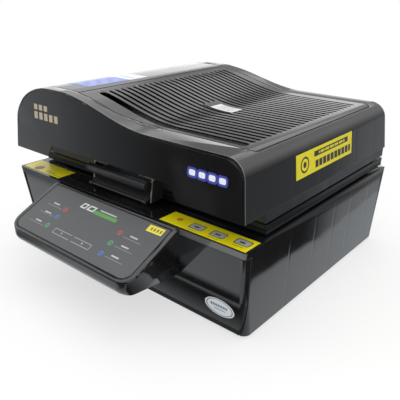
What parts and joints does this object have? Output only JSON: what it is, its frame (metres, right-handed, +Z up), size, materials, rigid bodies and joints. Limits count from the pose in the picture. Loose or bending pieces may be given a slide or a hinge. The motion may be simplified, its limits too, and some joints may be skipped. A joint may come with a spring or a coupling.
{
  "type": "3d vacuum sublimation machine",
  "caption": "Table-top vacuum heat press: base with vacuum tray and platen, hinged silicone membrane frame, hinged heating lid with hump and vent slots, and a sloping touch panel.",
  "frame": {"origin": "under the middle of the whole machine's box at floor level", "axes": "+X to the operator's right, +Y to the hinges at the back, +Z up; the lid is shut"},
  "size_m": [0.566, 0.617, 0.3318],
  "materials": {
    "lid_black": "smooth moulded gloss",
    "front_black": "polished",
    "base_black": "smooth moulded gloss",
    "panel_smoke": "polished",
    "bezel_grey": "satin gloss",
    "overlay_grey": "fine satin film",
    "blue_black_steel": "satin powder coat",
    "frame_alloy": "dark anodised bar",
    "stainless": "brushed",
    "galvanised": "zinc plate",
    "bright_screws": "bright",
    "handle_steel": "satin",
    "handle_black": "satin",
    "handle_grip": "satin",
    "silicone": "smooth sheet",
    "black_rubber": "matte",
    "blanket": "black-faced fibre felt",
    "ceramic_white": "fired ceramic",
    "motor_black": "satin",
    "fan_alloy": "pressed sheet",
    "board_green": "solder resist",
    "display_black": "tinted window",
    "black_plastic": "fine spark texture",
    "guard_wire": "plated wire",
    "pump_alloy": "die cast",
    "brass": "turned",
    "transformer_steel": "varnished laminations",
    "yellow_label": "printed film",
    "blue_label": "printed film"
  },
  "bodies": {
    "base": {"base_shell": "base_black", "base_front_cover": "base_black", "base_front_panel": "panel_smoke", "bottom_plate": "galvanised", "rubber_feet": "black_rubber", "bottom_screws": "bright_screws", "vacuum_tray": "stainless", "perforated_platen": "stainless", "platen_rails": "stainless", "tray_gasket": "black_rubber", "hinge_base_brackets": "blue_black_steel", "hinge_pins": "bright_screws", "control_housing": "base_black", "control_bezel": "bezel_grey", "control_overlay": "overlay_grey", "control_board": "board_green", "control_display": "display_black", "power_inlet": "black_plastic", "power_switch_body": "black_plastic", "cooling_fan_frame": "black_plastic", "cooling_fan_guard": "guard_wire", "pump_cradle": "galvanised", "pump_motor": "motor_black", "pump_head": "pump_alloy", "solenoid_valve": "brass", "tray_nipple": "brass", "tray_hose": "black_rubber", "pump_hose": "black_rubber", "power_board": "board_green", "relay_heatsink": "fan_alloy", "solid_state_relay": "black_plastic", "transformer": "transformer_steel", "base_labels": "yellow_label"},
    "lid": {"lid_shell": "lid_black", "lid_front_panel": "front_black", "lid_hump_cover": "lid_black", "lid_vent_cover": "lid_black", "lid_inner_skirt": "blue_black_steel", "heat_chamber_liner": "stainless", "lid_seal": "black_rubber", "lid_insulation": "blanket", "heating_tubes": "stainless", "heater_holders": "ceramic_white", "circulation_motor": "motor_black", "temperature_probe": "stainless", "handle_bar": "handle_grip", "handle_cheeks": "handle_steel", "handle_lip": "handle_black", "handle_screws": "bright_screws", "lid_hinge_leaves": "blue_black_steel", "lid_labels": "blue_label"},
    "membrane_frame": {"membrane_frame_lower": "frame_alloy", "silicone_membrane": "silicone", "membrane_frame_upper": "frame_alloy", "membrane_frame_screws": "bright_screws", "membrane_frame_hinge_leaves": "blue_black_steel"},
    "circulation_fan": {"circulation_impeller": "fan_alloy"},
    "cooling_fan": {"cooling_fan_rotor": "black_plastic"},
    "pump_fan": {"pump_tail_fan": "black_plastic"},
    "switch_rocker": {"power_switch_rocker": "black_plastic"}
  },
  "joints": [
    {"name": "lid_hinge", "type": "hinge", "parent": "base", "child": "lid", "pos_m": [0, 0.3015, 0.1825], "axis": [-1, 0, 0], "range_deg": [0, 75]},
    {"name": "membrane_frame_hinge", "type": "hinge", "parent": "base", "child": "membrane_frame", "pos_m": [0, 0.3015, 0.1825], "axis": [-1, 0, 0], "range_deg": [0, 45]},
    {"name": "circulation_fan_spin", "type": "hinge", "parent": "lid", "child": "circulation_fan", "pos_m": [-0.15, 0.0755, 0.25], "axis": [0, 0, 1], "continuous": true},
    {"name": "cooling_fan_spin", "type": "hinge", "parent": "base", "child": "cooling_fan", "pos_m": [0.19, 0.2726, 0.06], "axis": [0, 1, 0], "continuous": true},
    {"name": "pump_fan_spin", "type": "hinge", "parent": "base", "child": "pump_fan", "pos_m": [0.07, 0.0965, 0.0465], "axis": [1, 0, 0], "continuous": true},
    {"name": "power_switch_rock", "type": "hinge", "parent": "base", "child": "switch_rocker", "pos_m": [-0.15, 0.28645, 0.06], "axis": [1, 0, 0], "range_deg": [0, 18]}
  ],
  "couplings": [
    {"joint": "membrane_frame_hinge", "follows": "lid_hinge", "ratio": 0.6}
  ]
}
